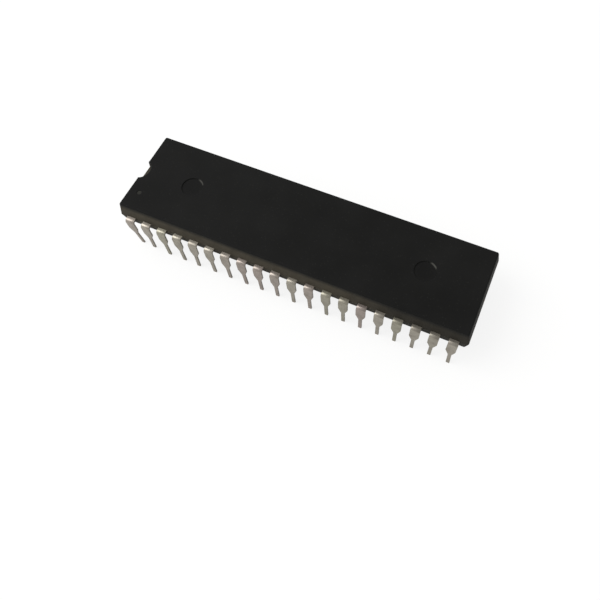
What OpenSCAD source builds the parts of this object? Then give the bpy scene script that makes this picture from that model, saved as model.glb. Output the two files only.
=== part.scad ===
// Forty-lead dual in-line integrated circuit in a moulded epoxy package.
// All sizes are in millimetres. The lead tips stand on z = 0, the centre of
// the package is at x = y = 0, the notched end faces -X, and pins 1 to 20
// run along the -Y side towards +X. Pins 21 to 40 run back along the +Y side.

/* [Moulded body] */
// Distance from the end leads' middles to the ends of the body
end_margin = 1.87; // [1.6:0.01:2.6]
// Width of the body, measured at the parting line
body_w = 13.6; // [12.4:0.1:14.6]
// Height of the moulding above the parting plane
body_top_h = 2.25; // [1.9:0.05:2.6]
// Height of the moulding below the parting plane
body_bottom_h = 1.8; // [1.4:0.05:2.2]
// Draft of the side and end walls, in degrees
draft_angle = 9.5; // [5:0.5:12]
// Radius of the four upright corners
corner_r = 0.25; // [0.2:0.05:0.7]
// Radius where the top and bottom faces meet the walls
edge_r = 0.1; // [0.05:0.05:0.15]

/* [Marks in the moulding] */
// Radius of the notch that marks the pin 1 end, at the top face
notch_r = 1.6; // [1.3:0.05:1.9]
// How far the notch reaches in from the end edge of the top face
notch_depth = 1.0; // [0.6:0.05:1.2]
// Height of the notch floor above the parting plane
notch_floor = 1.0; // [0.2:0.05:1.4]
// Draft of the notch wall, in degrees
notch_draft = 5; // [1:1:8]
// Diameter of the dimple beside pin 1
dimple_d = 0.7; // [0.5:0.05:1]
// Depth of the dimple beside pin 1
dimple_depth = 0.08; // [0.05:0.01:0.2]
// Distance of the dimple from the notched end of the body
dimple_end = 2.0; // [1.5:0.1:3]
// Distance of the dimple from the centre line
dimple_side = 3.7; // [3:0.1:5]
// Diameter of the round marks that the ejector pins leave
ejector_d = 3.0; // [2:0.1:3.5]
// Depth of the ejector marks
ejector_depth = 0.12; // [0.05:0.01:0.2]
// Distance between the two ejector marks of a face
ejector_pitch = 35.0; // [30:0.5:40]

/* [Formed leads] */
// Distance between neighbouring leads of a row
pitch = 2.54; // [2.5:0.01:2.58]
// Distance from the body's side wall to the outer face of the leads
lead_reach = 0.82; // [0.7:0.01:1.2]
// Thickness of the leadframe metal
lead_t = 0.25; // [0.2:0.01:0.3]
// Inside radius of the bend
bend_r = 0.3; // [0.2:0.01:0.35]
// Outward lean of the legs, in degrees
splay = 2; // [0:0.5:6]
// Width of a lead at its shoulder
shoulder_w = 1.35; // [1.2:0.01:1.6]
// Width of the narrow part that enters the board
tip_w = 0.5; // [0.38:0.01:0.55]
// Height over which the shoulder narrows to the tip width
taper_h = 1.1; // [0.6:0.05:1.4]
// Length of the narrow part of a lead, up to the taper
tip_l = 2.6; // [2.3:0.05:3.2]
// Height of the underside of the body above the lower end of the taper
standoff = 1.1; // [0.8:0.05:1.4]
// Leads knocked out of line: pin number, tip shift towards +X, tip shift outward
bent_pins = [[1, 0.3, -0.3], [2, -0.25, -0.2], [5, -0.15, 0.05], [8, 0.1, 0], [20, 0.2, 0.1]];

/* [Leadframe inside the body] */
// Length of the shoulder that is embedded in the body
shoulder_in = 0.5; // [0.3:0.05:0.6]
// Length over which the embedded shoulder narrows to a finger
neck_l = 0.3; // [0.2:0.05:0.35]
// Length of straight finger between the neck and the knee in the middle of a row
knee_run = 0.1; // [0.05:0.05:0.3]
// Distance from the centre line to the knee of the end fingers
knee_end = 1.3; // [1.2:0.05:1.5]
// Gap between neighbouring fingers where they lie closest
finger_gap = 0.2; // [0.15:0.01:0.22]
// Widest that a finger is made where it has room
finger_most = 0.42; // [0.3:0.01:0.5]
// Width of a finger where its wire is bonded
finger_tip_w = 0.25; // [0.2:0.01:0.28]
// Length of the die paddle
paddle_l = 7.0; // [6.4:0.1:8]
// Width of the die paddle
paddle_w = 5.0; // [4.6:0.1:5.6]
// How far the paddle is set down below the leads
paddle_drop = 0.3; // [0.2:0.02:0.4]
// Gap between the paddle and the finger tips
tip_gap = 0.3; // [0.25:0.01:0.35]
// Distance from a corner of the paddle back to the last finger on its long side
corner_back_x = 0.26; // [0.2:0.01:0.3]
// Distance from a corner of the paddle back to the last finger on its short side
corner_back_y = 0.05; // [0:0.01:0.1]
// How far past a corner of the paddle the last finger of its long side turns
turn_past = 0.55; // [0.5:0.01:0.65]
// Distance from the paddle's short sides to the finger turns
turn_out_x = 1.8; // [1.6:0.05:2]
// Distance from the paddle's long sides to the nearest finger turn
turn_out_y = 0.9; // [0.8:0.05:1.1]
// Distance from the knee line to the finger turn at the middle of a row
turn_in = 0.5; // [0.4:0.05:0.7]
// Distance from the edge of a tie bar to the middle of the finger beside it
tie_room = 0.45; // [0.4:0.01:0.5]
// Width of the tie bars that carried the paddle
tie_w = 0.4; // [0.3:0.01:0.45]
// Length of each tie bar's slope down to the paddle
tie_slope_l = 0.6; // [0.4:0.05:0.8]

/* [Die and bond wires] */
// Length of the silicon die
die_l = 4.4; // [4.2:0.1:4.8]
// Width of the silicon die
die_w = 3.8; // [3.6:0.1:4]
// Thickness of the silicon die
die_t = 0.38; // [0.3:0.01:0.45]
// Thickness of the die attach layer
attach_t = 0.04; // [0.02:0.01:0.06]
// Margin of the die attach layer round the die
attach_margin = 0.12; // [0.05:0.01:0.2]
// Distance of the bond pads from the edge of the die
pad_inset = 0.15; // [0.1:0.01:0.2]
// Distance from a corner of the die back to the nearest bond pads
pad_back = 0.4; // [0.3:0.01:0.5]
// Diameter of a bond wire
wire_d = 0.033; // [0.025:0.001:0.04]
// Height of the wire loop above the die
loop_h = 0.25; // [0.15:0.01:0.35]
// Distance from a finger's end to the middle of its bond
bond_reach = 0.25; // [0.2:0.01:0.3]

/* [Hidden] */
// Leads in each row, and the fingers of a quarter that end beside the paddle's long side
per_row = 20;
quarter = per_row / 2;
fan_side = 5;
// Length of the body at the parting line, and width over the outer faces of the two rows
body_l = (per_row - 1) * pitch + 2 * end_margin;
row_span = body_w + 2 * lead_reach;
// Heights of the working planes
z_tip = tip_l;
z_bottom = z_tip + standoff;
z_part = z_bottom + body_bottom_h;
z_top = z_part + body_top_h;
lead_z = z_part - lead_t / 2;
paddle_z = lead_z - paddle_drop;
attach_z = paddle_z + lead_t;
die_z = attach_z + attach_t;
pad_z = die_z + die_t;
z_taper = z_tip + taper_h;
// Half width of the flat part of a lead, where the bend begins
bend_u = row_span / 2 - lead_t - bend_r;
// Line of the knees in the middle of a row
knee_line = body_w / 2 - shoulder_in - neck_l - knee_run;
// Spacing of the finger tips and turns along the paddle, and of the pads along the die
end_pitch_x = (paddle_l / 2 - corner_back_x) / (fan_side - 0.5);
end_pitch_y = (paddle_w / 2 - corner_back_y - tie_w / 2 - tie_room) / (quarter - fan_side - 1);
turn_pitch_x = (paddle_l / 2 + turn_past) / (fan_side - 0.5);
pad_pitch_x = (die_l / 2 - pad_back) / (fan_side - 0.5);
pad_pitch_y = (die_w / 2 - pad_back) / (quarter - fan_side - 0.5);
// How far the top face's end edge lies inside the parting line
top_inset = body_top_h * tan(draft_angle);
// Points of a rounded corner and rings of a rounded edge
corner_n = 4;
edge_n = 3;
// Length of cut that stands clear of the surface it opens
clear = 0.5;
// How far a straight part and the bend reach into each other at mid thickness
lap = 0.1;

body_colour = "#2a2a28";
tin_colour = "#a8a49c";
copper_colour = "#b08d6a";
silver_colour = "#c8c8c4";
silicon_colour = "#5a5f6b";
gold_colour = "#d9b44a";

function lead_name(n) = str("lead_", n < 10 ? "0" : "", n);

// Solid through a stack of rings that all have the same number of points.
// The rings turn anticlockwise when seen from the last one.
module loft(rings) {
    n = len(rings[0]);
    last = (len(rings) - 1) * n;
    sides = [for (r = [0:len(rings) - 2]) for (i = [0:n - 1])
        [r * n + i, (r + 1) * n + i, (r + 1) * n + (i + 1) % n, r * n + (i + 1) % n]];
    first_cap = [for (i = [0:n - 1]) i];
    last_cap = [for (i = [n - 1:-1:0]) last + i];
    polyhedron([for (ring = rings) each ring], concat([first_cap, last_cap], sides));
}

// Ring of a rectangle with rounded corners at height z
function rounded_ring(l, w, r, z) = [
    for (c = [[1, 1, 0], [-1, 1, 90], [-1, -1, 180], [1, -1, 270]]) for (s = [0:corner_n])
        let (a = c[2] + 90 * s / corner_n)
        [c[0] * (l / 2 - r) + r * cos(a), c[1] * (w / 2 - r) + r * sin(a), z]
];

// Rings of a drafted half body with a rounded outer edge, from the wall to the face.
// up is 1 for the upper half and -1 for the lower half.
function edge_rings(h, up) = [
    for (s = [0:edge_n])
        let (
            a = draft_angle + (90 - draft_angle) * s / edge_n,
            centre_h = h - edge_r,
            inset = centre_h * tan(draft_angle) + edge_r / cos(draft_angle) - edge_r * cos(a),
            r = corner_r - edge_r * (cos(draft_angle) - cos(a))
        )
        rounded_ring(body_l - 2 * inset, body_w - 2 * inset, r, z_part + up * (centre_h + edge_r * sin(a)))
];

// The moulding before the notch and the marks, with nothing embedded in it
module body_blank() {
    lower = edge_rings(body_bottom_h, -1);
    upper = edge_rings(body_top_h, 1);
    loft(concat(
        [for (s = [edge_n:-1:0]) lower[s]],
        [rounded_ring(body_l, body_w, corner_r, z_part)],
        upper
    ));
}

// The half-round notch, as a drafted cutter
module notch_cutter() {
    h = body_top_h - notch_floor;
    translate([-body_l / 2 + top_inset + notch_depth - notch_r, 0, z_part + notch_floor])
        cylinder(
            h = h + clear,
            r1 = notch_r - h * tan(notch_draft),
            r2 = notch_r + clear * tan(notch_draft),
            $fn = 64
        );
}

// The round marks of the ejector pins in the top and bottom faces
module ejector_cutters() {
    for (x = [-ejector_pitch / 2, ejector_pitch / 2]) {
        translate([x, 0, z_top - ejector_depth])
            cylinder(h = ejector_depth + clear, d = ejector_d, $fn = 64);
        translate([x, 0, z_bottom - clear])
            cylinder(h = ejector_depth + clear, d = ejector_d, $fn = 64);
    }
}

module dimple_cutter() {
    translate([-body_l / 2 + dimple_end, -dimple_side, z_top - dimple_depth])
        cylinder(h = dimple_depth + clear, d = dimple_d, $fn = 48);
}

// Outline of a flat strip along a path, with its width given at each point
function strip(path, widths) = let (
    last = len(path) - 1,
    dir = [for (i = [0:last - 1]) (path[i + 1] - path[i]) / norm(path[i + 1] - path[i])],
    side = [for (i = [0:last])
        let (
            a = dir[max(i - 1, 0)],
            b = dir[min(i, last - 1)],
            t = (a + b) / norm(a + b),
            mitre = [-t[1], t[0]] / (t * b)
        )
        mitre * widths[i] / 2]
) concat(
    [for (i = [0:last]) path[i] + side[i]],
    [for (i = [last:-1:0]) path[i] - side[i]]
);

// Middle of the bonded end of finger k, counted from 1 at the middle of the row
function finger_end(k) = k <= fan_side
    ? [(k - 0.5) * end_pitch_x, -(paddle_w / 2 + tip_gap)]
    : [paddle_l / 2 + tip_gap, -(tie_w / 2 + tie_room + (quarter - k) * end_pitch_y)];

// Point where finger k turns to the paddle. The turns beside a short side share the
// room between the tie bar and the last turn of the long side.
function finger_turn(k) = let (
    last_y = paddle_w / 2 + turn_out_y,
    first_y = knee_line - turn_in,
    bar_y = tie_w / 2 + tie_room
) k <= fan_side
    ? [(k - 0.5) * turn_pitch_x, -(first_y - (first_y - last_y) * pow(k / fan_side, 2))]
    : [paddle_l / 2 + turn_out_x, -(bar_y + (last_y - bar_y) * (quarter - k) / (quarter - fan_side))];

// Knee of finger k, where it leaves its own lead's line
function finger_knee(k) = [(k - 0.5) * pitch, -(knee_line - (knee_line - knee_end) * pow(k / quarter, 2))];

// Distance of point p from the line through a and b
function line_gap(p, a, b) = abs((b - a)[0] * (p - a)[1] - (b - a)[1] * (p - a)[0]) / norm(b - a);

// Distance between the middles of fingers k and k + 1 where they lie closest
function finger_pitch(k) = k == 0
    ? 2 * finger_turn(1)[0]
    : k == quarter
        ? 2 * tie_room - finger_gap
        : min(
            line_gap(finger_turn(k + 1), finger_knee(k), finger_turn(k)),
            line_gap(finger_knee(k), finger_knee(k + 1), finger_turn(k + 1))
        );

// Width of finger k between its knee and its turn, as wide as the gaps beside it allow
function finger_w(k) = min(finger_most, finger_pitch(k - 1) - finger_gap, finger_pitch(k) - finger_gap);

// Flat part of a lead from the bend to the die, for the quarter at +X and -Y
module finger(k) {
    x = (k - 0.5) * pitch;
    embedded = body_w / 2 - shoulder_in;
    path = [
        [x, -bend_u],
        [x, -embedded],
        [x, -(embedded - neck_l)],
        finger_knee(k),
        finger_turn(k),
        finger_end(k)
    ];
    widths = [shoulder_w, shoulder_w, finger_w(k), finger_w(k), finger_w(k), finger_tip_w];
    translate([0, 0, lead_z]) linear_extrude(lead_t) polygon(strip(path, widths));
}

// Side view of the bend and the leg, with the outward direction along x
module leg_section(lean) {
    far = 2 * (bend_r + lead_t);
    middle = (90 + lean) / 2;
    drop = 2 * z_part;
    translate([bend_u, lead_z - bend_r]) {
        intersection() {
            difference() {
                circle(r = bend_r + lead_t, $fn = 64);
                circle(r = bend_r, $fn = 64);
            }
            polygon([[0, 0], far * [cos(lean), sin(lean)], far * [cos(middle), sin(middle)], [0, far]]);
        }
        rotate(lean) translate([bend_r, -drop]) square([lead_t, drop]);
        rotate(lean) translate([bend_r + lead_t / 4, -lap]) square([lead_t / 2, 2 * lap]);
    }
}

// Front view of the leg, whose tip is shifted sideways
module leg_outline(shift) {
    mid_shift = shift * taper_h / z_taper;
    top = z_part + lead_t;
    polygon([
        [-shoulder_w / 2, top],
        [-shoulder_w / 2, z_taper],
        [mid_shift - tip_w / 2, z_tip],
        [shift - tip_w / 2, 0],
        [shift + tip_w / 2, 0],
        [mid_shift + tip_w / 2, z_tip],
        [shoulder_w / 2, z_taper],
        [shoulder_w / 2, top]
    ]);
}

// Bend and leg of a lead of the -Y row that stands at x = 0
module leg(sideways, outward) {
    lean = splay + atan(outward / z_part);
    intersection() {
        rotate([90, 0, -90]) linear_extrude(4 * shoulder_w, center = true) leg_section(lean);
        rotate([90, 0, 0]) linear_extrude(2 * row_span, center = true) leg_outline(sideways);
    }
}

// Lead n, from its bonded end inside the body to its tip
module lead(n) {
    place = n <= per_row ? n : 2 * per_row + 1 - n;
    offset_n = place - (per_row + 1) / 2;
    found = [for (b = bent_pins) if (b[0] == n) b];
    knock = len(found) > 0 ? found[0] : [n, 0, 0];
    color(tin_colour) mirror([0, n > per_row ? 1 : 0, 0]) {
        mirror([offset_n < 0 ? 1 : 0, 0, 0]) finger(abs(offset_n) + 0.5);
        translate([offset_n * pitch, 0, 0]) leg(knock[1], knock[2]);
        translate([offset_n * pitch, -bend_u, lead_z + lead_t / 2])
            cube([shoulder_w / 2, 2 * lap, lead_t / 2], center = true);
    }
}

// Plate under the die, with its two tie bars cut flush with the body's ends.
// The bars lie at the height of the leads and slope down to the plate.
module die_paddle() {
    foot = paddle_l / 2;
    head = foot + tie_slope_l;
    end = body_l / 2;
    low = paddle_z;
    low_top = paddle_z + lead_t;
    high_top = lead_z + lead_t;
    color(copper_colour) rotate([90, 0, 0]) {
        linear_extrude(paddle_w, center = true)
            polygon([[-foot, low], [foot, low], [foot, low_top], [-foot, low_top]]);
        linear_extrude(tie_w, center = true) polygon([
            [-end, lead_z], [-head, lead_z], [-foot, low],
            [foot, low], [head, lead_z], [end, lead_z],
            [end, high_top], [head, high_top], [foot, low_top],
            [-foot, low_top], [-head, high_top], [-end, high_top]
        ]);
    }
}

module die_attach() {
    color(silver_colour) translate([0, 0, attach_z + attach_t / 2])
        cube([die_l + 2 * attach_margin, die_w + 2 * attach_margin, attach_t], center = true);
}

module silicon_die() {
    color(silicon_colour) translate([0, 0, die_z + die_t / 2]) cube([die_l, die_w, die_t], center = true);
}

// Middle of the bond pad that serves finger k
function pad_at(k) = k <= fan_side
    ? [(k - 0.5) * pad_pitch_x, -(die_w / 2 - pad_inset)]
    : [die_l / 2 - pad_inset, -(quarter - k + 0.5) * pad_pitch_y];

// Middle of the bond on finger k
function bond_at(k) = let (
    tip = finger_end(k),
    back = (finger_turn(k) - tip) / norm(finger_turn(k) - tip)
) tip + bond_reach * back;

// Wire from the pad to finger k. Its six-sided rings lie flat at both bonds.
module bond_wire(k) {
    from = pad_at(k);
    span = norm(bond_at(k) - from);
    along = (bond_at(k) - from) / span;
    across = [-along[1], along[0]];
    finger_top = lead_z + lead_t;
    // Each ring has its share of the span, its height and the slope of the wire there
    stations = [
        [0, pad_z, 90],
        [0.04, pad_z + 0.8 * loop_h, 70],
        [0.22, pad_z + loop_h, 0],
        [0.8, finger_top + 0.35 * loop_h, -25],
        [1, finger_top, -90]
    ];
    loft([for (s = stations) [for (a = [0:60:300])
        let (
            flat = along * (s[0] * span) + wire_d / 2 * (cos(a) * across - sin(a) * sin(s[2]) * along)
        )
        [from[0] + flat[0], from[1] + flat[1], s[1] + wire_d / 2 * sin(a) * cos(s[2])]
    ]]);
}

module bond_wires() {
    color(gold_colour) for (qx = [0, 1]) for (qy = [0, 1])
        mirror([qx, 0, 0]) mirror([0, qy, 0]) for (k = [1:quarter]) bond_wire(k);
}

// Moulded epoxy body, closed round everything that is embedded in it
module package_body() {
    color(body_colour) difference() {
        body_blank();
        notch_cutter();
        ejector_cutters();
        dimple_cutter();
        for (n = [1:2 * per_row]) lead(n);
        die_paddle();
        die_attach();
        silicon_die();
        bond_wires();
    }
}

package_body();
for (n = [1:2 * per_row]) lead(n);
die_paddle();
die_attach();
silicon_die();
bond_wires();
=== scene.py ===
"""Looks of a forty-lead dual in-line integrated circuit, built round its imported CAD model."""

from math import radians, tan

import bmesh
import bpy
from mathutils import Matrix, Vector


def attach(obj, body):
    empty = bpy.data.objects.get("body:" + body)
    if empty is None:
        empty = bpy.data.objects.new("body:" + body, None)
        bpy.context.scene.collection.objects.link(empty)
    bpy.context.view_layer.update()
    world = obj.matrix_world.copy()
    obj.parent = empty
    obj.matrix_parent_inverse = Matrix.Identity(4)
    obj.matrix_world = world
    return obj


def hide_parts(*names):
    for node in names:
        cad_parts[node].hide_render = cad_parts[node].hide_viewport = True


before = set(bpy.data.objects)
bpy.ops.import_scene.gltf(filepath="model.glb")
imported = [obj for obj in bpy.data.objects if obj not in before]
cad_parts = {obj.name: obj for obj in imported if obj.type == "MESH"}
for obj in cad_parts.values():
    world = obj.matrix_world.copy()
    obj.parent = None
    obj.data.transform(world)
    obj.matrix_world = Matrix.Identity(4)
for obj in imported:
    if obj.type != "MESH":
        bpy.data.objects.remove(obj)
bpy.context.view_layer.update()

# Lengths are in metres. A pattern's scale is given as its cells in a millimetre: 2.2 / MM is 2.2 cells.
MM = 0.001

# Sizes of the package, as the CAD model has them
BODY_L = 52.0 * MM
BODY_W = 13.6 * MM
Z_BOTTOM = 3.7 * MM
Z_PART = 5.5 * MM
Z_TOP = 7.75 * MM
DRAFT = radians(9.5)
CORNER_R = 0.25 * MM
NOTCH_R = 1.6 * MM
NOTCH_DEPTH = 1.0 * MM
NOTCH_FLOOR = 1.0 * MM
NOTCH_DRAFT = radians(5)
DIMPLE_D = 0.7 * MM
DIMPLE_DEPTH = 0.08 * MM
DIMPLE_AT = (-24.0 * MM, -3.7 * MM)
EJECTOR_D = 3.0 * MM
EJECTOR_DEPTH = 0.12 * MM
EJECTOR_X = 17.5 * MM
LEAD_COUNT = 40
PITCH = 2.54 * MM

# The outside of the bend of a lead starts this far out from the middle, and this high
BEND_OUT = 7.07 * MM
BEND_HIGH = 5.075 * MM

# Softer edges that the CAD model leaves out or has smaller
EDGE_R = 0.2 * MM
RIM_R = 0.06 * MM
FLOOR_R = 0.03 * MM
PARTING_STEP = 0.01 * MM
LEAD_EDGE_R = 0.03 * MM

# Two places closer than this count as one
HAIR = 0.001 * MM


def select_only(piece):
    """Makes the piece the only one selected, and the active one."""
    bpy.ops.object.select_all(action="DESELECT")
    piece.select_set(True)
    bpy.context.view_layer.objects.active = piece


def edit(piece, mode):
    """Opens the piece in edit mode with nothing selected."""
    select_only(piece)
    bpy.ops.object.mode_set(mode="EDIT")
    bpy.ops.mesh.select_mode(type=mode)
    bpy.ops.mesh.select_all(action="DESELECT")


def pick(piece, kind, test):
    """Selects the faces, edges or verts of the open piece for which test is true."""
    mesh = bmesh.from_edit_mesh(piece.data)
    for part in getattr(mesh, kind):
        if test(part):
            part.select_set(True)
    mesh.select_flush_mode()
    bmesh.update_edit_mesh(piece.data)


def middle(edge):
    """The point halfway along an edge."""
    return (edge.verts[0].co + edge.verts[1].co) / 2


def flat_at(z):
    """A test for edges that lie level at height z."""
    return lambda edge: all(abs(v.co.z - z) < HAIR for v in edge.verts)


def close_edit():
    """Leaves edit mode."""
    bpy.ops.object.mode_set(mode="OBJECT")


def settle(piece):
    """Puts the piece's object at the origin, with its place in its mesh."""
    select_only(piece)
    bpy.ops.object.transform_apply(location=True, rotation=True, scale=True)


def cut(piece, cutter):
    """Takes the cutter out of the piece and throws the cutter away."""
    select_only(piece)
    hole = piece.modifiers.new("cut", "BOOLEAN")
    hole.operation = "DIFFERENCE"
    hole.solver = "EXACT"
    hole.object = cutter
    bpy.ops.object.modifier_apply(modifier=hole.name)
    bpy.data.objects.remove(cutter)


def shade_evenly(piece, angle):
    """Smooth shading over the rounded edges, while the large faces stay flat."""
    select_only(piece)
    bpy.ops.object.shade_smooth_by_angle(angle=angle)
    weight = piece.modifiers.new("even", "WEIGHTED_NORMAL")
    weight.keep_sharp = True
    weight.weight = 100
    bpy.ops.object.modifier_apply(modifier=weight.name)


def mould_body():
    """The epoxy moulding: two drafted halves that meet at the parting line."""
    bpy.ops.object.select_all(action="DESELECT")
    bpy.ops.mesh.primitive_plane_add(size=1, location=(0, 0, Z_PART))
    body = bpy.context.object
    body.name = "epoxy_moulding"
    body.scale = (BODY_L, BODY_W, 1)
    settle(body)

    # upright corners, rounded while the piece is still a plate
    edit(body, "VERT")
    bpy.ops.mesh.select_all(action="SELECT")
    bpy.ops.mesh.bevel(affect="VERTICES", offset=CORNER_R, segments=8)

    # lower half: the plate drawn down, and its underside pulled in by the draft
    drop = Z_PART - Z_BOTTOM
    inset = drop * tan(DRAFT)
    bpy.ops.mesh.select_all(action="SELECT")
    bpy.ops.mesh.extrude_region_move(TRANSFORM_OT_translate={"value": (0, 0, -drop)})
    bpy.ops.transform.resize(value=((BODY_L - 2 * inset) / BODY_L, (BODY_W - 2 * inset) / BODY_W, 1))

    # upper half: it starts a hair inside the lower one, because the mould halves never meet exactly
    rise = Z_TOP - Z_PART
    inset = rise * tan(DRAFT)
    bpy.ops.mesh.select_mode(type="FACE")
    bpy.ops.mesh.select_all(action="DESELECT")
    pick(body, "faces", lambda f: abs(f.calc_center_median().z - Z_PART) < HAIR)
    bpy.ops.mesh.inset(thickness=PARTING_STEP)
    bpy.ops.mesh.extrude_region_move(TRANSFORM_OT_translate={"value": (0, 0, rise)})
    wide = BODY_L - 2 * PARTING_STEP
    deep = BODY_W - 2 * PARTING_STEP
    bpy.ops.transform.resize(value=((BODY_L - 2 * inset) / wide, (BODY_W - 2 * inset) / deep, 1))
    bpy.ops.mesh.select_all(action="SELECT")
    bpy.ops.mesh.normals_make_consistent(inside=False)
    close_edit()
    return body


def round_cutter(radius, depth, x, y, z, sides=96):
    """An upright cylinder whose middle is at x, y and z."""
    bpy.ops.object.select_all(action="DESELECT")
    bpy.ops.mesh.primitive_cylinder_add(vertices=sides, radius=radius, depth=depth, location=(x, y, z))
    cutter = bpy.context.object
    settle(cutter)
    return cutter


def cut_notch(body):
    """The half-round notch at the pin 1 end, open through the end wall."""
    low = Z_PART + NOTCH_FLOOR
    # the cutter stands half a millimetre out of the top face
    high = Z_TOP + 0.5 * MM
    x = -BODY_L / 2 + (Z_TOP - Z_PART) * tan(DRAFT) + NOTCH_DEPTH - NOTCH_R
    cutter = round_cutter(NOTCH_R, high - low, x, 0, (low + high) / 2)
    # its lower end is drawn in, so that the notch has the draft that frees it from the mould
    edit(cutter, "FACE")
    pick(cutter, "faces", lambda f: f.normal.z < -0.9)
    narrow = (NOTCH_R - (Z_TOP - low) * tan(NOTCH_DRAFT)) / NOTCH_R
    bpy.ops.transform.resize(value=(narrow, narrow, 1), center_override=(x, 0, low))
    close_edit()
    cut(body, cutter)


def cut_marks(body):
    """Ejector marks in both faces, and the dimple beside pin 1."""
    for x in (-EJECTOR_X, EJECTOR_X):
        for z in (Z_TOP, Z_BOTTOM):
            cutter = round_cutter(EJECTOR_D / 2, 2 * EJECTOR_DEPTH, x, 0, z)
            cut(body, cutter)
    cutter = round_cutter(DIMPLE_D / 2, 2 * DIMPLE_DEPTH, *DIMPLE_AT, Z_TOP, sides=48)
    cut(body, cutter)


def rim(edge, angle=radians(25)):
    """True for an edge where two faces meet at a clear angle."""
    return len(edge.link_faces) == 2 and edge.calc_face_angle(0) > angle


def round_outline(body):
    """Rounds the edges where the top and the underside meet the walls and the notch."""
    edit(body, "EDGE")
    for z in (Z_TOP, Z_BOTTOM):
        level = flat_at(z)
        bpy.ops.mesh.select_all(action="DESELECT")
        pick(body, "edges", lambda e: level(e) and rim(e))
        bpy.ops.mesh.bevel(offset=EDGE_R, segments=4, offset_type="OFFSET")
    close_edit()


def round_rims(body):
    """Rounds the rims of the ejector marks and the dimple, and the floors of the ejector marks."""
    marks = [((x, 0), EJECTOR_D / 2) for x in (-EJECTOR_X, EJECTOR_X)] + [(DIMPLE_AT, DIMPLE_D / 2)]
    reach = 0.02 * MM

    def on_mark(edge):
        spot = middle(edge)
        return any(abs((spot.xy - Vector(at)).length - r) < reach for at, r in marks)

    levels = (
        (Z_TOP, RIM_R),
        (Z_BOTTOM, RIM_R),
        (Z_TOP - EJECTOR_DEPTH, FLOOR_R),
        (Z_BOTTOM + EJECTOR_DEPTH, FLOOR_R),
    )
    edit(body, "EDGE")
    for z, r in levels:
        level = flat_at(z)
        bpy.ops.mesh.select_all(action="DESELECT")
        pick(body, "edges", lambda e: level(e) and rim(e) and on_mark(e))
        bpy.ops.mesh.bevel(offset=r, segments=3, offset_type="OFFSET")
    close_edit()


body = mould_body()
cut_notch(body)
round_outline(body)
cut_marks(body)
round_rims(body)
shade_evenly(body, radians(30))


def form_lead(name):
    """A copy of the CAD lead with the softened edges that stamping and plating leave."""
    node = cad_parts[name]
    lead = node.copy()
    lead.data = node.data.copy()
    lead.parent = None
    lead.name = name.replace("lead", "formed_lead")
    bpy.context.scene.collection.objects.link(lead)
    # the loose triangles of the CAD mesh become whole faces first
    edit(lead, "EDGE")
    bpy.ops.mesh.select_all(action="SELECT")
    bpy.ops.mesh.remove_doubles(threshold=HAIR)
    bpy.ops.mesh.dissolve_limited(angle_limit=radians(1))
    bpy.ops.mesh.select_all(action="DESELECT")
    pick(lead, "edges", lambda e: rim(e, radians(35)))
    bpy.ops.mesh.bevel(offset=LEAD_EDGE_R, segments=2, offset_type="OFFSET")
    close_edit()
    shade_evenly(lead, radians(40))
    return lead


lead_names = ["lead_%02d" % n for n in range(1, LEAD_COUNT + 1)]
leads = {name: form_lead(name) for name in lead_names}


def tone(code):
    """A colour written as an sRGB hex value, in the linear values that Blender uses."""
    parts = [int(code[i:i + 2], 16) / 255 for i in (1, 3, 5)]
    return tuple(p / 12.92 if p <= 0.04045 else ((p + 0.055) / 1.055) ** 2.4 for p in parts) + (1.0,)


def add(tree, kind, links=None, **settings):
    """Adds a node. A setting names a property or an input socket, and a link names an input socket."""
    node = tree.nodes.new("ShaderNode" + kind)
    for name, value in settings.items():
        if hasattr(node, name):
            setattr(node, name, value)
        else:
            node.inputs[name.replace("_", " ")].default_value = value
    for name, source in (links or {}).items():
        tree.links.new(source, node.inputs[name])
    return node


def new_finish(name):
    """An empty material with its shader and the object's own coordinates."""
    finish = bpy.data.materials.new(name)
    finish.use_nodes = True
    tree = finish.node_tree
    tree.nodes.clear()
    shader = add(tree, "BsdfPrincipled")
    add(tree, "OutputMaterial", {"Surface": shader.outputs["BSDF"]})
    place = add(tree, "TexCoord").outputs["Object"]
    return finish, tree, shader, place


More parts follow.
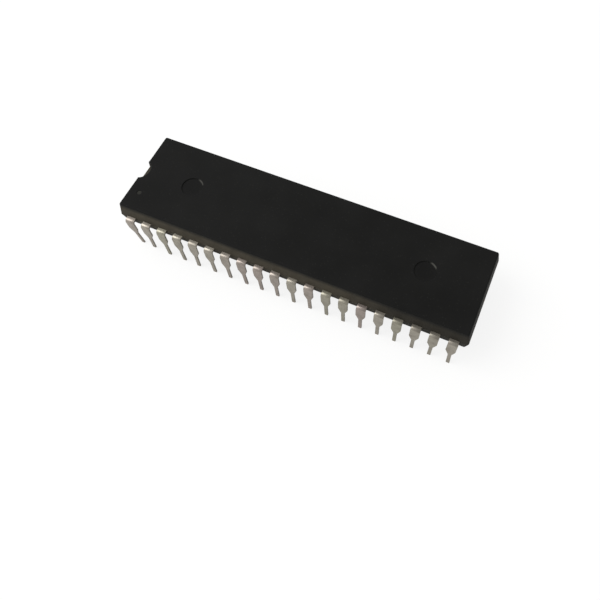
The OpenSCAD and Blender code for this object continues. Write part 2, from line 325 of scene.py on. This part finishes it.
def moulded_epoxy():
    """Black filled epoxy, transfer moulded in a spark-eroded mould: almost black, with a dry fine grain."""
    finish, tree, shader, place = new_finish("transfer_moulded_epoxy")
    shader.inputs["IOR"].default_value = 1.57
    # the filler and the craters shade one another and take most of the gloss away
    shader.inputs["Specular IOR Level"].default_value = 0.1
    # clouds of resin and filler, some millimetres wide
    clouds = add(tree, "TexNoise", {"Vector": place}, Scale=0.18 / MM, Detail=3.0)
    shade = add(tree, "ValToRGB", {"Fac": clouds.outputs["Fac"]})
    shade.color_ramp.elements[0].position = 0.3
    shade.color_ramp.elements[0].color = tone("#141413")
    shade.color_ramp.elements[1].position = 0.7
    shade.color_ramp.elements[1].color = tone("#1a1a19")
    # grains of silica filler of 0.03 mm break the skin; they are drawn 0.1 mm wide so that they show
    silica = add(tree, "TexVoronoi", {"Vector": place}, Scale=2.2 / MM)
    speck = add(tree, "MapRange", {"Value": silica.outputs["Distance"]},
                From_Min=0.16, From_Max=0.08, To_Max=0.35)
    filled = add(tree, "MixRGB", {"Fac": speck.outputs["Result"], "Color1": shade.outputs["Color"]},
                 Color2=tone("#3c3c39"))
    # spark erosion leaves craters of 0.02 mm; they are drawn 0.15 mm wide so that they show
    grain = add(tree, "TexNoise", {"Vector": place}, Scale=6.5 / MM, Detail=2.0, Roughness=0.6)
    bump = add(tree, "Bump", {"Height": grain.outputs["Fac"]}, Strength=0.35, Distance=0.01 * MM)
    rough = add(tree, "MapRange", {"Value": grain.outputs["Fac"]}, To_Min=0.58, To_Max=0.74)
    # painted light: the walls get a paler brown-grey tone than the top face, as the side light falls on them
    # more, and it fades out over the top edge
    axes = add(tree, "SeparateXYZ", {"Vector": place})
    wall_light_mask = add(tree, "MapRange", {"Value": axes.outputs["Z"]},
               From_Min=Z_TOP - 0.15 * MM, From_Max=Z_TOP - 0.9 * MM)
    # it lies in streaks of 1 to 2 mm
    streak = add(tree, "TexNoise", {"Vector": place}, Scale=0.7 / MM, Detail=3.0)
    painted_light_streaks = add(tree, "MapRange", {"Value": streak.outputs["Fac"]}, From_Min=0.25, From_Max=0.6, To_Min=0.7)
    wall_light_mask = add(tree, "Math", {0: wall_light_mask.outputs["Result"], 1: painted_light_streaks.outputs["Result"]}, operation="MULTIPLY")
    # painted shade: the paler wall tone falls away towards the end away from pin 1, which is further from the
    # light
    painted_shade_to_right = add(tree, "MapRange", {"Value": axes.outputs["X"]},
                  From_Min=9 * MM, From_Max=16 * MM, To_Min=1.0, To_Max=0.4)
    wall_light_mask = add(tree, "Math", {0: wall_light_mask.outputs[0], 1: painted_shade_to_right.outputs["Result"]}, operation="MULTIPLY")
    # the painted wall light is mixed over the skin here
    painted_wall_light = add(tree, "MixRGB", {"Fac": wall_light_mask.outputs[0], "Color1": filled.outputs["Color"]},
               Color2=tone("#474238"))
    skin = painted_wall_light.outputs["Color"]
    # each ejector mark is painted darker inside its rim, and a pale arc on its far rim, on the side towards
    # the light, is a painted highlight
    edge = EJECTOR_D / 2
    for x in (-EJECTOR_X, EJECTOR_X):
        away = add(tree, "VectorMath", {0: place}, operation="DISTANCE")
        away.inputs[1].default_value = (x, 0, Z_TOP - EJECTOR_DEPTH)
        disc = add(tree, "MapRange", {"Value": away.outputs["Value"]},
                   From_Min=edge, From_Max=edge - 0.6 * MM, To_Max=0.45)
        dark = add(tree, "MixRGB", {"Fac": disc.outputs["Result"], "Color1": skin}, Color2=tone("#0d0d0c"))
        ring = add(tree, "MapRange", {"Value": away.outputs["Value"]},
                   From_Min=edge - 0.14 * MM, From_Max=edge - 0.04 * MM)
        past = add(tree, "MapRange", {"Value": away.outputs["Value"]},
                   From_Min=edge + 0.12 * MM, From_Max=edge + 0.04 * MM)
        side = add(tree, "VectorMath", {0: place}, operation="DISTANCE")
        side.inputs[1].default_value = (x + 0.8 * MM, 1.3 * MM, Z_TOP)
        highlight_side = add(tree, "MapRange", {"Value": side.outputs["Value"]},
                   From_Min=0.7 * MM, From_Max=0.35 * MM, To_Max=0.8)
        painted_rim_highlight = add(tree, "Math", {0: ring.outputs["Result"], 1: past.outputs["Result"]}, operation="MULTIPLY")
        painted_rim_highlight = add(tree, "Math", {0: painted_rim_highlight.outputs[0], 1: highlight_side.outputs["Result"]}, operation="MULTIPLY")
        # painted highlight: the arc on the rim is mixed in as a pale grey
        rubbed_and_highlight = add(tree, "MixRGB", {"Fac": painted_rim_highlight.outputs[0], "Color1": dark.outputs["Color"]},
                     Color2=tone("#5c5b56"))
        skin = rubbed_and_highlight.outputs["Color"]
    # the floor of the dimple is smooth, and its sheen is painted on as a paler colour
    away = add(tree, "VectorMath", {0: place}, operation="DISTANCE")
    away.inputs[1].default_value = (*DIMPLE_AT, Z_TOP - DIMPLE_DEPTH)
    spot = add(tree, "MapRange", {"Value": away.outputs["Value"]},
               From_Min=DIMPLE_D / 2 + 0.05 * MM, From_Max=DIMPLE_D / 2 - 0.1 * MM)
    painted_dimple_sheen = add(tree, "MixRGB", {"Fac": spot.outputs["Result"], "Color1": skin}, Color2=tone("#33332f"))
    tree.links.new(painted_dimple_sheen.outputs["Color"], shader.inputs["Base Color"])
    tree.links.new(rough.outputs["Result"], shader.inputs["Roughness"])
    tree.links.new(bump.outputs["Normal"], shader.inputs["Normal"])
    return finish


def matte_tin():
    """Matte tin plated on stamped copper alloy strip: a soft grey metal, each lead with a tint of its own."""
    finish, tree, shader, place = new_finish("matte_tin_plate")
    shader.inputs["Metallic"].default_value = 1.0
    axes = add(tree, "SeparateXYZ", {"Vector": place})
    # leads take the bath differently, so that each one is a little pinker or greener than the next
    number = add(tree, "Math", {0: axes.outputs["X"]}, operation="DIVIDE")
    number.inputs[1].default_value = PITCH
    number = add(tree, "Math", {0: number.outputs[0]}, operation="FLOOR")
    own = add(tree, "TexWhiteNoise", {"W": number.outputs[0]}, noise_dimensions="1D")
    tint = add(tree, "ValToRGB", {"Fac": own.outputs["Value"]})
    tint.color_ramp.elements[0].color = tone("#a59a93")
    tint.color_ramp.elements[1].color = tone("#a19e8e")
    tint.color_ramp.elements.new(0.5).color = tone("#a8a297")
    # tarnish in soft patches of about a millimetre
    blotch = add(tree, "TexNoise", {"Vector": place}, Scale=0.9 / MM, Detail=4.0)
    tarnish = add(tree, "MapRange", {"Value": blotch.outputs["Fac"]}, From_Min=0.45, From_Max=0.7, To_Max=0.6)
    skin = add(tree, "MixRGB", {"Fac": tarnish.outputs["Result"], "Color1": tint.outputs["Color"]},
               Color2=tone("#8c857b"))
    # rolling and stamping draw lines of 0.02 mm along the strip; they are drawn 0.1 mm wide so that they show
    along = add(tree, "Mapping", {"Vector": place}, Scale=(1.0, 0.06, 0.06))
    lines = add(tree, "TexNoise", {"Vector": along.outputs["Vector"]}, Scale=9 / MM, Detail=2.0)
    bump = add(tree, "Bump", {"Height": lines.outputs["Fac"]}, Strength=0.25, Distance=0.005 * MM)
    # the forming tool rubs the outside of the bend smoother
    side = add(tree, "Math", {0: axes.outputs["Y"]}, operation="ABSOLUTE")
    out = add(tree, "MapRange", {"Value": side.outputs[0]}, From_Min=BEND_OUT, From_Max=BEND_OUT + 0.2 * MM)
    high = add(tree, "MapRange", {"Value": axes.outputs["Z"]},
               From_Min=BEND_HIGH, From_Max=BEND_HIGH + 0.2 * MM)
    bend = add(tree, "Math", {0: out.outputs["Result"], 1: high.outputs["Result"]}, operation="MULTIPLY")
    rough = add(tree, "MapRange", {"Value": blotch.outputs["Fac"]}, To_Min=0.36, To_Max=0.5)
    rubbed_and_highlight = add(tree, "Math", {0: bend.outputs[0], 2: rough.outputs["Result"]}, operation="MULTIPLY_ADD")
    rubbed_and_highlight.inputs[1].default_value = -0.1
    # the tips were sheared after plating and show bare alloy
    cutoff = add(tree, "MapRange", {"Value": axes.outputs["Z"]}, From_Min=0.05 * MM, From_Max=0.03 * MM)
    metal = add(tree, "MixRGB", {"Fac": cutoff.outputs["Result"], "Color1": skin.outputs["Color"]},
                Color2=tone("#b48a68"))
    tree.links.new(metal.outputs["Color"], shader.inputs["Base Color"])
    tree.links.new(rubbed_and_highlight.outputs[0], shader.inputs["Roughness"])
    tree.links.new(bump.outputs["Normal"], shader.inputs["Normal"])
    return finish


def stamped_copper():
    """Bare copper alloy strip, rolled and stamped: reddish, with fine rolling lines."""
    finish, tree, shader, place = new_finish("stamped_copper_alloy")
    shader.inputs["Metallic"].default_value = 1.0
    # rolling lines of 0.02 mm along the strip, drawn 0.1 mm wide so that they show
    along = add(tree, "Mapping", {"Vector": place}, Scale=(0.05, 1.0, 1.0))
    lines = add(tree, "TexNoise", {"Vector": along.outputs["Vector"]}, Scale=9 / MM, Detail=2.0)
    shade = add(tree, "ValToRGB", {"Fac": lines.outputs["Fac"]})
    shade.color_ramp.elements[0].color = tone("#a37855")
    shade.color_ramp.elements[1].color = tone("#c89a76")
    rough = add(tree, "MapRange", {"Value": lines.outputs["Fac"]}, To_Min=0.3, To_Max=0.45)
    tree.links.new(shade.outputs["Color"], shader.inputs["Base Color"])
    tree.links.new(rough.outputs["Result"], shader.inputs["Roughness"])
    return finish


def silver_epoxy():
    """Epoxy filled with silver flakes, dispensed and cured: a dull grey paste with bright flecks."""
    finish, tree, shader, place = new_finish("cured_silver_epoxy")
    # flakes of 0.01 mm, drawn 0.05 mm wide so that they show
    flakes = add(tree, "TexVoronoi", {"Vector": place}, Scale=20 / MM)
    shade = add(tree, "ValToRGB", {"Fac": flakes.outputs["Distance"]})
    shade.color_ramp.elements[0].color = tone("#dcdcd8")
    shade.color_ramp.elements[1].color = tone("#8b8a86")
    fleck = add(tree, "MapRange", {"Value": flakes.outputs["Distance"]}, To_Min=0.9, To_Max=0.4)
    tree.links.new(shade.outputs["Color"], shader.inputs["Base Color"])
    tree.links.new(fleck.outputs["Result"], shader.inputs["Metallic"])
    shader.inputs["Roughness"].default_value = 0.5
    return finish


def sawn_silicon():
    """Polished silicon sawn from its wafer: a dark blue-grey mirror with faint blocks of circuitry."""
    finish, tree, shader, place = new_finish("sawn_silicon_wafer")
    shader.inputs["Metallic"].default_value = 0.8
    # blocks of circuitry are some tenths of a millimetre wide
    blocks = add(tree, "TexVoronoi", {"Vector": place}, distance="CHEBYCHEV", Scale=2.5 / MM)
    shade = add(tree, "ValToRGB", {"Fac": blocks.outputs["Color"]})
    shade.color_ramp.elements[0].color = tone("#4c525e")
    shade.color_ramp.elements[1].color = tone("#6d7480")
    rough = add(tree, "MapRange", {"Value": blocks.outputs["Distance"]}, To_Min=0.12, To_Max=0.25)
    tree.links.new(shade.outputs["Color"], shader.inputs["Base Color"])
    tree.links.new(rough.outputs["Result"], shader.inputs["Roughness"])
    return finish


def drawn_gold():
    """Gold wire drawn through a die: bright yellow metal, smooth, with faint changes of tone along it."""
    finish, tree, shader, place = new_finish("drawn_gold_wire")
    shader.inputs["Metallic"].default_value = 1.0
    # changes of tone over a few tenths of a millimetre
    waves = add(tree, "TexNoise", {"Vector": place}, Scale=3 / MM, Detail=2.0)
    shade = add(tree, "ValToRGB", {"Fac": waves.outputs["Fac"]})
    shade.color_ramp.elements[0].color = tone("#e0b24e")
    shade.color_ramp.elements[1].color = tone("#f0ca70")
    rough = add(tree, "MapRange", {"Value": waves.outputs["Fac"]}, To_Min=0.15, To_Max=0.3)
    tree.links.new(shade.outputs["Color"], shader.inputs["Base Color"])
    tree.links.new(rough.outputs["Result"], shader.inputs["Roughness"])
    return finish


def dress(piece, finish):
    """Gives the piece one finish all over."""
    piece.data.materials.clear()
    piece.data.materials.append(finish)


epoxy = moulded_epoxy()
tin = matte_tin()
dress(body, epoxy)
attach(body, "root")
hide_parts("package_body")
for name, lead in leads.items():
    dress(lead, tin)
    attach(lead, "root")
    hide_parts(name)
# the pieces inside the moulding keep their CAD meshes
inner = {
    "die_paddle": stamped_copper(),
    "die_attach": silver_epoxy(),
    "silicon_die": sawn_silicon(),
    "bond_wires": drawn_gold(),
}
for name, finish in inner.items():
    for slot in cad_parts[name].material_slots:
        slot.material = finish


def lay_floor():
    """A wide sheet of white paper under the leads."""
    bpy.ops.object.select_all(action="DESELECT")
    bpy.ops.mesh.primitive_plane_add(size=3, location=(0, 0, 0))
    floor = bpy.context.object
    floor.name = "paper_floor"
    settle(floor)
    finish = bpy.data.materials.new("white_paper")
    finish.use_nodes = True
    tree = finish.node_tree
    tree.nodes.clear()
    paper = add(tree, "BsdfDiffuse", Color=tone("#f2f2f0"))
    # the camera sees paper as white as the ground of the photograph, with a little of the part's shadow
    # left on it, and the metal mirrors more of that shadow
    white_to_camera = 0.75
    white_in_metal = 0.2
    path = add(tree, "LightPath")
    mirrored = add(tree, "Math", {0: path.outputs["Is Glossy Ray"], 1: path.outputs["Is Transmission Ray"]},
                   operation="MAXIMUM")
    straight = add(tree, "Math", {0: path.outputs["Is Camera Ray"]}, operation="MULTIPLY")
    straight.inputs[1].default_value = white_to_camera
    share = add(tree, "Math", {0: mirrored.outputs[0], 2: straight.outputs[0]}, operation="MULTIPLY_ADD")
    share.inputs[1].default_value = white_in_metal
    glow = add(tree, "Emission", Color=(1, 1, 1, 1), Strength=1.1)
    both = add(tree, "MixShader",
               {0: share.outputs[0], 1: paper.outputs["BSDF"], 2: glow.outputs["Emission"]})
    add(tree, "OutputMaterial", {"Surface": both.outputs["Shader"]})
    dress(floor, finish)


def light_world():
    """White all round for the camera. For the object, a white studio that darkens from left to right."""
    world = bpy.data.worlds.new("studio")
    bpy.context.scene.world = world
    world.use_nodes = True
    tree = world.node_tree
    tree.nodes.clear()
    toward = add(tree, "SeparateXYZ", {"Vector": add(tree, "TexCoord").outputs["Generated"]})
    level = add(tree, "MapRange", {"Value": toward.outputs["X"]},
                From_Min=-0.6, From_Max=0.2, To_Min=0.9, To_Max=0.45)
    path = add(tree, "LightPath")
    level = add(tree, "Math", {0: level.outputs["Result"], 1: path.outputs["Is Camera Ray"]},
                operation="MAXIMUM")
    back = add(tree, "Background", {"Strength": level.outputs[0]}, Color=(1, 1, 1, 1))
    add(tree, "OutputWorld", {"Surface": back.outputs["Background"]})


def hang_softbox(name, place, size, power):
    """A square soft light that looks at the part."""
    lamp = bpy.data.lights.new(name, "AREA")
    lamp.shape = "SQUARE"
    # metres and watts
    lamp.size = size
    lamp.energy = power
    box = bpy.data.objects.new(name, lamp)
    bpy.context.scene.collection.objects.link(box)
    box.location = place
    box.rotation_euler = (-Vector(place)).to_track_quat("-Z", "Y").to_euler()


def stand_camera():
    """The camera, at the place and turn that were fitted to the photograph."""
    data = bpy.data.cameras.new("camera")
    camera = bpy.data.objects.new("camera", data)
    bpy.context.scene.collection.objects.link(camera)
    spot = Vector((22.939 * MM, -36.638 * MM, 75.942 * MM))
    right = Vector((0.920719, 0.390092, -0.010235))
    up = Vector((-0.345892, 0.827974, 0.441382))
    back = right.cross(up)
    turn = Matrix((right, up, back)).transposed().to_4x4()
    camera.matrix_world = Matrix.Translation(spot) @ turn
    data.sensor_width = 36
    data.lens = 35.238
    data.shift_x = -0.082
    data.shift_y = -0.0213
    data.clip_start = 0.005
    data.clip_end = 10
    bpy.context.scene.camera = camera


lay_floor()
light_world()
hang_softbox("key_softbox", place=(-0.35, -0.1, 0.4), size=0.4, power=1.2)
stand_camera()
bpy.context.scene.view_settings.view_transform = "Standard"
